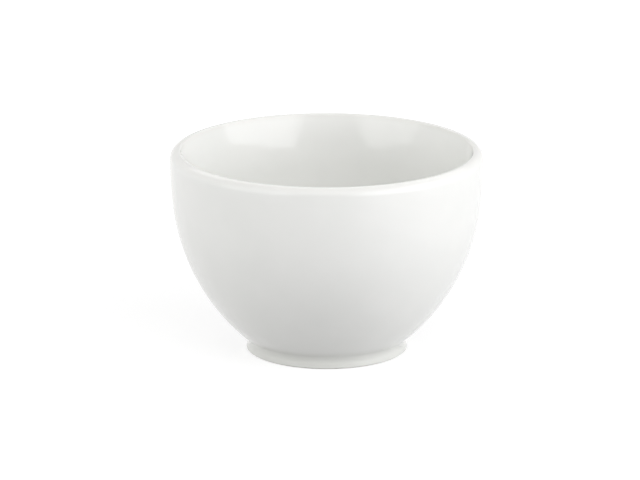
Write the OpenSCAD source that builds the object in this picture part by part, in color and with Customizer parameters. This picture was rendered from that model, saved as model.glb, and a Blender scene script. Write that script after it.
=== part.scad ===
// Latte bowl: a handleless porcelain bowl whose thick wall thins to a rounded lip, on a low turned foot ring.
// The half section is one outline of arcs that meet at common tangents. Each piece is the share of that
// section that is its own, turned about the z axis. The table is z = 0, and sizes are in millimetres.

/* [Bowl] */
// Diameter across the rim, over the glaze
rim_d = 120; // [104:1:140]
// Height from the table to the top of the lip
bowl_h = 78.4; // [72:0.2:88]
// Thickness of the wall below the taper towards the lip, with both skins of glaze
wall_t = 7.3; // [6.4:0.1:8.4]
// Radius of the upper curve of the side, which stands upright at the lip
side_r = 155; // [130:1:200]
// Height at which the upper curve gives way to the fuller lower curve
belly_h = 56.5; // [50:0.5:62]

/* [Lip] */
// Radius of the outer round of the lip
lip_out_r = 3.4; // [2.6:0.1:4]
// Radius of the inner round of the lip
lip_in_r = 0.8; // [0.6:0.1:1.2]

/* [Well] */
// Thickness of the base in the middle, from the well down to the recess
base_t = 6; // [5:0.1:8]
// Radius of the curve from the side into the flat of the well
well_r = 25; // [16:1:32]

/* [Foot] */
// Diameter of the foot ring at its neck
neck_d = 61.2; // [56:0.2:68]
// Radius of the cove between the side and the foot ring
cove_r = 3.6; // [2.6:0.1:4.6]
// Height of the outer face of the foot ring, from the table to the cove
foot_h = 1.9; // [1.8:0.1:3.4]
// Outward lean of that face towards the table, in degrees
foot_flare = 12; // [4:1:14]
// Width of the foot ring at the table, before its edges are rounded
foot_w = 5; // [4.2:0.1:7]
// Radius of the two edges that meet the table
edge_r = 0.6; // [0.4:0.1:1.2]
// Height of the recess under the base
recess_h = 3.6; // [3:0.1:5]
// Outward lean of the recess wall towards the table, in degrees
recess_draft = 12; // [4:1:20]
// Radius of the corner between the recess wall and its ceiling
recess_r = 1.6; // [0.8:0.1:2.2]

/* [Glaze] */
// Thickness of the glaze
glaze_t = 0.25; // [0.15:0.05:0.5]
// Height of the band at the bottom of the foot ring that is wiped bare
bare_h = 0.4; // [0.3:0.1:1]

/* [Hidden] */
// Facets of a full turn
$fn = 180;
// Greatest distance of an arc from the straight steps that draw it
arc_error = 0.02;

// Vectors in the half section, where x is the distance from the axis and y the height
function unit(a) = [cos(a), sin(a)];
function angle_of(v) = atan2(v.y, v.x);

// Points along an arc about c from angle a0 to a1. An arc that follows on from another at a common
// tangent starts at point 1, because its point 0 is there already.
function arc(c, r, a0, a1, first = 0) =
    let (steps = ceil(abs(a1 - a0) / (2 * acos(1 - arc_error / r))))
    [for (k = [first : steps]) c + r * unit(a0 + (a1 - a0) * k / steps)];

// Lip, an outer and an inner round that share the top of the bowl
lip_out_c = [rim_d / 2 - lip_out_r, bowl_h - lip_out_r];
lip_in_c = [rim_d / 2 - lip_out_r, bowl_h - lip_in_r];

// Upper curve, upright where it meets the lip
side_c = [rim_d / 2 - side_r, lip_out_c.y];
belly_a = asin((belly_h - lip_out_c.y) / side_r);
belly_top = side_c + side_r * unit(belly_a);

// Cove, upright at the neck
neck_h = foot_h + cove_r * sin(foot_flare);
cove_c = [neck_d / 2 + cove_r, neck_h];

// Lower curve, tangent to the upper curve at belly_top and to the cove
belly_to_cove = cove_c - belly_top;
belly_r = (belly_to_cove * belly_to_cove - cove_r ^ 2) / (2 * (cove_r - belly_to_cove * unit(belly_a)));
belly_c = belly_top - belly_r * unit(belly_a);
cove_a = angle_of(cove_c - belly_c);

// Taper of the wall, a curve tangent to the inside of the lower curve at its top and to the lip's inner round
inner_r = belly_r - wall_t;
taper_low = belly_top - wall_t * unit(belly_a);
taper_to_lip = lip_in_c - taper_low;
taper_r = (taper_to_lip * taper_to_lip - lip_in_r ^ 2) / (2 * (taper_to_lip * unit(belly_a) - lip_in_r));
taper_c = taper_low + taper_r * unit(belly_a);
lip_a = angle_of(lip_in_c - taper_c);

// Well curve, tangent to the inside of the lower curve and to the flat of the well
well_z = recess_h + base_t;
well_below = belly_c.y - well_z - well_r;
well_c = [belly_c.x + sqrt((inner_r - well_r) ^ 2 - well_below ^ 2), well_z + well_r];
well_a = angle_of(well_c - belly_c);

// Corners of the foot ring at the table before rounding, and the corner curve of the recess
foot_out_r = cove_c.x - (cove_r - neck_h * sin(foot_flare)) / cos(foot_flare);
foot_in_r = foot_out_r - foot_w;
recess_c_z = recess_h - recess_r;
recess_c = [foot_in_r - (recess_r + recess_c_z * sin(recess_draft)) / cos(recess_draft), recess_c_z];

// Centres of the rounds on the outer and inner edge of the foot ring, at a depth d below the glaze's surface
function outer_edge_c(d) = [
    foot_out_r - (edge_r * (1 + sin(foot_flare)) + d) / cos(foot_flare),
    edge_r
];
function inner_edge_c(d) = [
    foot_in_r + (edge_r * (1 - sin(recess_draft)) + d) / cos(recess_draft),
    edge_r
];

// Outline of the half section at a depth d below the glaze's surface, from under the base round to the well
function outline(d) = concat(
    [[0, recess_h + d]],
    arc(recess_c, recess_r + d, 90, recess_draft),
    arc(inner_edge_c(d), edge_r, 180 + recess_draft, 270),
    arc(outer_edge_c(d), edge_r, -90, foot_flare),
    arc(cove_c, cove_r + d, 180 + foot_flare, 180 + cove_a),
    arc(belly_c, belly_r - d, cove_a, belly_a, 1),
    arc(side_c, side_r - d, belly_a, 0, 1),
    arc(lip_out_c, lip_out_r - d, 0, 90, 1),
    arc(lip_in_c, lip_in_r - d, 90, lip_a, 1),
    arc(taper_c, taper_r - d, lip_a, 180 + belly_a, 1),
    arc(belly_c, inner_r + d, belly_a, well_a, 1),
    arc(well_c, well_r + d, well_a, -90, 1),
    [[0, well_z - d]]
);

// Half section of all the glaze: it lies on the body and ends above the bare band
module glaze_section() {
    difference() {
        polygon(outline(0));
        polygon(outline(glaze_t));
        square([rim_d, bare_h]);
    }
}

// Region under the base, from the middle of the foot ring inwards
module under_base() {
    square([foot_in_r + foot_w / 2, recess_h + base_t / 2]);
}

// Fired body: wall, lip, base and foot ring in one piece
module porcelain_body() {
    color("#e9e6df") rotate_extrude() polygon(outline(glaze_t));
}

// Glaze from the well up over the lip and down the outside to the bare foot
module glaze_coat() {
    color("#f4f4f1") rotate_extrude() difference() {
        glaze_section();
        under_base();
    }
}

// Glaze in the recess under the base
module base_glaze() {
    color("#f1f1ed") rotate_extrude() intersection() {
        glaze_section();
        under_base();
    }
}

porcelain_body();
glaze_coat();
base_glaze();
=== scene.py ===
import math

import bmesh
import bpy
from mathutils import Matrix, Vector


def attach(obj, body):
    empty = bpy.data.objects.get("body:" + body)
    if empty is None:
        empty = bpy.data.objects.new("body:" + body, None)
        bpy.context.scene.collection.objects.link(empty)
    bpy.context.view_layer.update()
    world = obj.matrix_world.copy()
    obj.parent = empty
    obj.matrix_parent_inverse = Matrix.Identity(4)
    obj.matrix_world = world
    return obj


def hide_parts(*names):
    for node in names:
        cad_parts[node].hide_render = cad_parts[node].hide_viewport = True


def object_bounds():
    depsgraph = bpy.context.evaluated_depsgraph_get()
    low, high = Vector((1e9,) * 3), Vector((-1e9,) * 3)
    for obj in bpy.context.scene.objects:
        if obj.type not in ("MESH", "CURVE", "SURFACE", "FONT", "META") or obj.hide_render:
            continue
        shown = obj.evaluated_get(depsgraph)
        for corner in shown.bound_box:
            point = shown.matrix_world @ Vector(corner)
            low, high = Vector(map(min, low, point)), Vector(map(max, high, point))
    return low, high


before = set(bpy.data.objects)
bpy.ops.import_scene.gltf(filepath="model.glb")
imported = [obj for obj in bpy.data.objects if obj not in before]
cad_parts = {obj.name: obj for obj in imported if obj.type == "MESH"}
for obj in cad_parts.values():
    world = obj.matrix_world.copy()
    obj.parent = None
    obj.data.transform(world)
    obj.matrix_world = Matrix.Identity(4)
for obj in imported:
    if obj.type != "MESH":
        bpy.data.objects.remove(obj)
cad_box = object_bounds()

MM = 0.001
BODY = "root"

# Photograph: its size in pixels, and the camera that the rim, the outline and the foot fit
PHOTO_W, PHOTO_H = 640, 480
CAMERA_DISTANCE = 2.0
CAMERA_ELEVATION = math.radians(15.53)
FOCAL_PX = 5213
SENSOR_MM = 36
# Point on the axis that the camera was fitted about, and the pixel where it is seen
AIM_HEIGHT = 40 * MM
AIM_PX = (326.8, 246.3)

# Turned pieces: facets of a full turn, and the longest step and greatest turn along the half section
SEGMENTS = 192
STEP = 2 * MM
TURN = math.radians(4)
# Vertices closer than this in the half section are on the same ring
SAME_RING = 0.005 * MM
# Points closer than this to a circle lie on it
ON_CIRCLE = 0.002 * MM
# Twice the sine of the angle under which two directions count as one
IN_LINE = 1e-6
# Edges that turn by more than this stay sharp
SHARP = math.radians(35)

# Glaze: the two whites of its mottle, and its colours of painted shade on the lip and in the cove
GLAZE_PALE = (0.878, 0.88, 0.855, 1)
GLAZE_DEEP = (0.862, 0.866, 0.84, 1)
GLAZE_LIP_SHADE = (0.83, 0.82, 0.785, 1)
GLAZE_COVE_SHADE = (0.785, 0.792, 0.752, 1)
GLAZE_IOR = 1.52
# Least and greatest roughness
GLOSS = (0.05, 0.085)
# Depth of the painted shade on the lip below the top of the bowl, and its share of the colour at the top
LIP_SHADE_DEPTH = 2.5 * MM
LIP_SHADE_SHARE = 0.5
# Heights where the painted shade in the cove is full and gone, and its share of the colour where it is
# full
COVE_SHADE_FULL, COVE_SHADE_GONE = 3.2 * MM, 8 * MM
COVE_SHADE_SHARE = 0.8
# Width of the lumps in the mottle, the gloss and the ripple
MOTTLE_SIZE = 22 * MM
GLOSS_SIZE = 9 * MM
RIPPLE_SIZE = 3.2 * MM
# Levels of the noise from which and up to which the mottle and the gloss change
MOTTLE_LEVELS = (0.35, 0.65)
GLOSS_LEVELS = (0.3, 0.7)
RIPPLE_DEPTH = 0.006 * MM
RIPPLE_STRENGTH = 0.5

# Bare porcelain: the two colours of its grain, and its grey where it is rubbed by the table
BISCUIT_PALE = (0.82, 0.805, 0.765, 1)
BISCUIT_DEEP = (0.76, 0.74, 0.695, 1)
BISCUIT_RUBBED = (0.6, 0.585, 0.555, 1)
# Least and greatest roughness
MATT = (0.7, 0.85)
# Width, levels of the noise and relief of the grain
GRAIN_SIZE = 0.35 * MM
GRAIN_LEVELS = (0.3, 0.7)
GRAIN_DEPTH = 0.02 * MM
GRAIN_STRENGTH = 0.6
# Width, levels of the noise and greatest share of the rubbed patches, and how far up the foot they reach
RUB_SIZE = 5 * MM
RUB_LEVELS = (0.45, 0.7)
RUB_SHARE = 0.6
RUB_HEIGHT = 0.15 * MM

# Floor: its side, the grey that lights the bowl, and the grey that takes the shadow where it is seen
FLOOR_SIZE = 8
FLOOR_BOUNCE = 0.56
FLOOR_SHADED = 0.35
# Glow where it is seen: its strengths near the bowl and far off, and their distances from the axis
GLOW = (0.74, 0.92)
GLOW_REACH = (0.05, 0.5)

# Studio: the world's even light, the panels' distance from the bowl and the colours of their light
AMBIENT = 0.36
PANEL_DISTANCE = 0.7
COOL = (1, 1, 1.02)
NEUTRAL = (1, 1, 1)
# Dark card behind the camera: its grey, its distance from the bowl's axis and its corners, across and up
CARD_GREY = 0.04
CARD_DISTANCE = 2.3
CARD_CORNERS = ((-1.67, 0), (1.44, 0), (0.93, 1.4), (-1.07, 1.4))

# Sockets of a Mix node in its colour form
MIX_A, MIX_B, MIX_RESULT = 6, 7, 2


def half_section(node):
    """Points (radius, height) of a CAD node's half section, from the axis round to the axis again."""
    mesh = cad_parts[node].data
    cells, rings, ring_of = {}, [], []
    for v in mesh.vertices:
        point = Vector((math.hypot(v.co.x, v.co.y), v.co.z))
        i, j = (round(c / SAME_RING) for c in point)
        near = [(i + a, j + b) for a in (0, -1, 1) for b in (0, -1, 1)]
        ring = next((cells[c] for c in near if c in cells), None)
        if ring is None:
            ring = cells[i, j] = len(rings)
            rings.append(point)
        ring_of.append(ring)
    beside = [set() for _ in rings]
    for e in mesh.edges:
        a, b = (ring_of[k] for k in e.vertices)
        if a != b:
            beside[a].add(b)
            beside[b].add(a)
    # The first and last ring bound a flat disc, so each has a ring on one side only
    path = [min(k for k in range(len(rings)) if len(beside[k]) == 1)]
    while len(path) < len(rings):
        path.append((beside[path[-1]] - set(path)).pop())
    points = [rings[k] for k in path]
    return [Vector((0, points[0].y)), *points, Vector((0, points[-1].y))]


def circle_through(a, b, c):
    """Centre and radius of the circle through three points, or None where they are in line."""
    u, v = b - a, c - a
    cross = 2 * (u.x * v.y - u.y * v.x)
    if abs(cross) < IN_LINE * u.length * v.length:
        return None
    uu, vv = u.length_squared, v.length_squared
    d = Vector((v.y * uu - u.y * vv, u.x * vv - v.x * uu)) / cross
    return a + d, d.length


def on_circle(point, circle):
    centre, radius = circle
    return abs((point - centre).length - radius) < ON_CIRCLE


def arc_end(points, i):
    """Index of the last of the points from i on that lie on one circle, and that circle."""
    circle = circle_through(*points[i:i + 3]) if i + 3 < len(points) else None
    j = i + 2
    while circle and j + 1 < len(points) and on_circle(points[j + 1], circle):
        j += 1
    return (j, circle) if circle and j >= i + 3 else (i + 1, None)


def fine_section(points):
    """The half section with its arcs and straight runs drawn in finer steps."""
    fine, i = [points[0]], 0
    while i < len(points) - 1:
        j, circle = arc_end(points, i)
        if circle:
            centre, radius = circle
            start = points[i] - centre
            turn = sum((points[k] - centre).angle_signed(points[k + 1] - centre) for k in range(i, j))
            steps = math.ceil(max(abs(turn) / TURN, abs(turn) * radius / STEP))
            # angle_signed counts clockwise turns as positive, and Matrix.Rotation the other way round
            fine += [centre + Matrix.Rotation(-turn * k / steps, 2) @ start for k in range(1, steps)]
        else:
            steps = math.ceil((points[j] - points[i]).length / STEP)
            fine += [points[i].lerp(points[j], k / steps) for k in range(1, steps)]
        fine.append(points[j])
        i = j
    return fine


def turned(name, node, material):
    """A piece turned from a CAD node's own half section, which stands for that node."""
    bm = bmesh.new()
    rings = []
    for p in fine_section(half_section(node)):
        turns = 1 if p.x < SAME_RING else SEGMENTS
        angles = [2 * math.pi * k / SEGMENTS for k in range(turns)]
        rings.append([bm.verts.new((p.x * math.cos(a), p.x * math.sin(a), p.y)) for a in angles])
    for a, b in zip(rings, rings[1:]):
        for k in range(SEGMENTS):
            corners = [a[k % len(a)], a[(k + 1) % len(a)], b[(k + 1) % len(b)], b[k % len(b)]]
            bm.faces.new(dict.fromkeys(corners))
    bmesh.ops.recalc_face_normals(bm, faces=bm.faces)
    mesh = bpy.data.meshes.new(name)
    bm.to_mesh(mesh)
    bm.free()
    mesh.shade_smooth()
    mesh.set_sharp_from_angle(angle=SHARP)
    mesh.materials.append(material)
    piece = bpy.data.objects.new(name, mesh)
    bpy.context.scene.collection.objects.link(piece)
    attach(piece, BODY)
    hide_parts(node)


class Nodes:
    """Short calls for building a node tree."""

    def __init__(self, owner):
        owner.use_nodes = True
        self.tree = owner.node_tree
        self.tree.nodes.clear()

    def add(self, kind, inputs=None, **settings):
        """A new node. A value in inputs is either a number or colour, or another node's output."""
        node = self.tree.nodes.new("ShaderNode" + kind)
        for key, value in settings.items():
            setattr(node, key, value)
        for key, value in (inputs or {}).items():
            if isinstance(value, bpy.types.NodeSocket):
                self.tree.links.new(value, node.inputs[key])
            else:
                node.inputs[key].default_value = value
        return node

    def calculate(self, operation, a, b):
        return self.add("Math", {0: a, 1: b}, operation=operation).outputs[0]

    def ramp(self, value, low, high, to_low, to_high):
        """value carried from low..high to to_low..to_high, smoothly and without overshoot."""
        names = ("From Min", "From Max", "To Min", "To Max")
        inputs = {"Value": value, **dict(zip(names, (low, high, to_low, to_high)))}
        return self.add("MapRange", inputs, interpolation_type="SMOOTHSTEP").outputs["Result"]

    def mix(self, factor, a, b):
        inputs = {"Factor": factor, MIX_A: a, MIX_B: b}
        return self.add("Mix", inputs, data_type="RGBA").outputs[MIX_RESULT]

    def noise(self, place, size, detail=2.0):
        """Noise whose lumps are about size metres across."""
        inputs = {"Vector": place, "Scale": 1 / size, "Detail": detail}
        return self.add("TexNoise", inputs).outputs["Fac"]

    def bump(self, height, strength, depth):
        inputs = {"Height": height, "Strength": strength, "Distance": depth}
        return self.add("Bump", inputs).outputs["Normal"]

    def seen(self):
        """1 for what the camera, a mirror image or glass shows, and 0 for light that falls on things."""
        path = self.add("LightPath").outputs
        either = self.calculate("MAXIMUM", path["Is Camera Ray"], path["Is Glossy Ray"])
        return self.calculate("MAXIMUM", either, path["Is Transmission Ray"])


def grey(value):
    return (value, value, value, 1)


def glaze_material():
    """Glossy white glaze, with painted shade that darkens and warms the lip's top and darkens the cove.
    """
    material = bpy.data.materials.new("white_glaze")
    n = Nodes(material)
    place = n.add("TexCoord").outputs["Object"]
    height = n.add("SeparateXYZ", {0: place}).outputs["Z"]
    top = cad_box[1].z
    # Slow mottle of the fired glaze
    cloud = n.noise(place, MOTTLE_SIZE)
    white = n.mix(n.ramp(cloud, *MOTTLE_LEVELS, 0, 1), GLAZE_PALE, GLAZE_DEEP)
    # Painted shade: darker and warmer towards the top of the lip
    white = n.mix(n.ramp(height, top - LIP_SHADE_DEPTH, top, 0, LIP_SHADE_SHARE), white, GLAZE_LIP_SHADE)
    # Painted shade: darker low down, in the cove between wall and foot
    white = n.mix(n.ramp(height, COVE_SHADE_FULL, COVE_SHADE_GONE, COVE_SHADE_SHARE, 0), white, GLAZE_COVE_SHADE)
    # Gloss that varies a little, and the soft ripple of a melted surface
    roughness = n.ramp(n.noise(place, GLOSS_SIZE), *GLOSS_LEVELS, *GLOSS)
    ripple = n.bump(n.noise(place, RIPPLE_SIZE, detail=1.0), RIPPLE_STRENGTH, RIPPLE_DEPTH)
    inputs = {"Base Color": white, "Roughness": roughness, "IOR": GLAZE_IOR, "Normal": ripple}
    n.add("OutputMaterial", {"Surface": n.add("BsdfPrincipled", inputs).outputs[0]})
    return material


def biscuit_material():
    """Bare fired porcelain: matt, warm and finely grained, rubbed grey where it stands."""
    material = bpy.data.materials.new("bare_biscuit")
    n = Nodes(material)
    place = n.add("TexCoord").outputs["Object"]
    height = n.add("SeparateXYZ", {0: place}).outputs["Z"]
    grain = n.noise(place, GRAIN_SIZE, detail=3.0)
    colour = n.mix(n.ramp(grain, *GRAIN_LEVELS, 0, 1), BISCUIT_PALE, BISCUIT_DEEP)
    low = n.ramp(height, 0, RUB_HEIGHT, 1, 0)
    patches = n.ramp(n.noise(place, RUB_SIZE), *RUB_LEVELS, 0, RUB_SHARE)
    colour = n.mix(n.calculate("MULTIPLY", low, patches), colour, BISCUIT_RUBBED)
    roughness = n.ramp(grain, *GRAIN_LEVELS, *MATT)
    relief = n.bump(grain, GRAIN_STRENGTH, GRAIN_DEPTH)
    inputs = {"Base Color": colour, "Roughness": roughness, "Normal": relief}
    n.add("OutputMaterial", {"Surface": n.add("BsdfPrincipled", inputs).outputs[0]})
    return material


def floor_material():
    """Pale floor: white where it is seen, apart from the shadow, and grey in the light it gives back."""
    material = bpy.data.materials.new("pale_floor")
    n = Nodes(material)
    place = n.add("TexCoord").outputs["Object"]
    away = n.add("VectorMath", {0: place}, operation="LENGTH").outputs["Value"]
    bounce = n.add("BsdfDiffuse", {"Color": grey(FLOOR_BOUNCE)})
    shaded = n.add("BsdfDiffuse", {"Color": grey(FLOOR_SHADED)})
    glow = n.add("Emission", {"Color": grey(1), "Strength": n.ramp(away, *GLOW_REACH, *GLOW)})
    shown = n.add("AddShader", {0: shaded.outputs[0], 1: glow.outputs[0]})
    mixed = n.add("MixShader", {0: n.seen(), 1: bounce.outputs[0], 2: shown.outputs[0]})
    n.add("OutputMaterial", {"Surface": mixed.outputs[0]})
    return material


def card_material():
    material = bpy.data.materials.new("dark_card")
    n = Nodes(material)
    shader = n.add("BsdfDiffuse", {"Color": grey(CARD_GREY)})
    n.add("OutputMaterial", {"Surface": shader.outputs[0]})
    return material


def stage_sheet(name, corners, material):
    """A flat sheet of the stage."""
    mesh = bpy.data.meshes.new(name)
    mesh.from_pydata(corners, [], [range(len(corners))])
    mesh.materials.append(material)
    sheet = bpy.data.objects.new(name, mesh)
    bpy.context.scene.collection.objects.link(sheet)
    return sheet


def make_floor():
    half = FLOOR_SIZE / 2
    corners = [(-half, -half, 0), (half, -half, 0), (half, half, 0), (-half, half, 0)]
    stage_sheet("floor", corners, floor_material())


def make_dark_card():
    """Dark card behind the camera, which shows in the glaze between the two round softboxes."""
    corners = [(x, -CARD_DISTANCE, z) for x, z in CARD_CORNERS]
    card = stage_sheet("dark_card", corners, card_material())
    card.visible_camera = False


def make_world():
    """White where it is seen, and a dimmer even light on everything."""
    world = bpy.data.worlds.new("studio")
    bpy.context.scene.world = world
    n = Nodes(world)
    light = n.add("Background", {"Color": grey(1), "Strength": AMBIENT})
    shown = n.add("Background", {"Color": grey(1), "Strength": 1.0})
    mixed = n.add("MixShader", {0: n.seen(), 1: light.outputs[0], 2: shown.outputs[0]})
    n.add("OutputWorld", {"Surface": mixed.outputs[0]})


def softbox(name, azimuth, elevation, size, radiance, colour=NEUTRAL, shape="RECTANGLE", mirrored=True):
    """A soft panel that faces the bowl. Azimuth counts from the camera's side, to the right."""
    light = bpy.data.lights.new(name, "AREA")
    light.shape = shape
    light.size, light.size_y = size
    area = size[0] * size[1] * (math.pi / 4 if shape == "ELLIPSE" else 1)
    light.energy = radiance * math.pi * area
    light.color = colour
    panel = bpy.data.objects.new(name, light)
    bpy.context.scene.collection.objects.link(panel)
    a, e = math.radians(azimuth), math.radians(elevation)
    towards = Vector((math.sin(a) * math.cos(e), -math.cos(a) * math.cos(e), math.sin(e)))
    panel.location = (cad_box[0] + cad_box[1]) / 2 + towards * PANEL_DISTANCE
    panel.rotation_euler = (-towards).to_track_quat("-Z", "Y").to_euler()
    panel.visible_camera = False
    panel.visible_glossy = mirrored


def make_lamps():
    """Panels that the glaze mirrors, and fills that light it without being mirrored."""
    softbox("softbox_right", 58, 25, size=(1.0, 0.7), radiance=1.45, colour=COOL, shape="ELLIPSE")
    softbox("softbox_left", -54, 24, size=(0.74, 0.56), radiance=0.92, shape="ELLIPSE")
    softbox("softbox_back", 180, 48, size=(0.9, 0.3), radiance=0.85)
    softbox("fill_right_low", 53, 7, size=(0.8, 0.18), radiance=1.7, colour=COOL, mirrored=False)
    softbox("fill_right_side", 75, 20, size=(0.5, 0.3), radiance=0.98, colour=COOL, mirrored=False)
    softbox("fill_left_low", -80, 9, size=(0.5, 0.22), radiance=3.4, mirrored=False)
    softbox("fill_front_high", 0, 50, size=(0.5, 0.3), radiance=1.5, mirrored=False)
    softbox("fill_top", 0, 89, size=(0.9, 0.9), radiance=0.2, mirrored=False)


def make_camera():
    data = bpy.data.cameras.new("camera")
    camera = bpy.data.objects.new("camera", data)
    scene = bpy.context.scene
    scene.collection.objects.link(camera)
    scene.camera = camera
    data.sensor_width = SENSOR_MM
    data.lens = SENSOR_MM * FOCAL_PX / PHOTO_W
    c, s = math.cos(CAMERA_ELEVATION), math.sin(CAMERA_ELEVATION)
    aim = Vector((0, 0, AIM_HEIGHT))
    camera.location = aim + Vector((0, -c, s)) * CAMERA_DISTANCE
    # The camera is turned a little, so that the aim is seen at its pixel and not in the middle
    metre_per_px = CAMERA_DISTANCE / FOCAL_PX
    right, up = Vector((1, 0, 0)), Vector((0, s, c))
    middle = aim + (right * (PHOTO_W / 2 - AIM_PX[0]) + up * (AIM_PX[1] - PHOTO_H / 2)) * metre_per_px
    camera.rotation_euler = (middle - camera.location).to_track_quat("-Z", "Y").to_euler()


glaze, biscuit = glaze_material(), biscuit_material()
turned("turned_glaze_coat", "glaze_coat", glaze)
turned("turned_base_glaze", "base_glaze", glaze)
turned("turned_body", "porcelain_body", biscuit)

make_floor()
make_dark_card()
make_world()
make_lamps()
make_camera()
bpy.context.scene.view_settings.view_transform = "Standard"
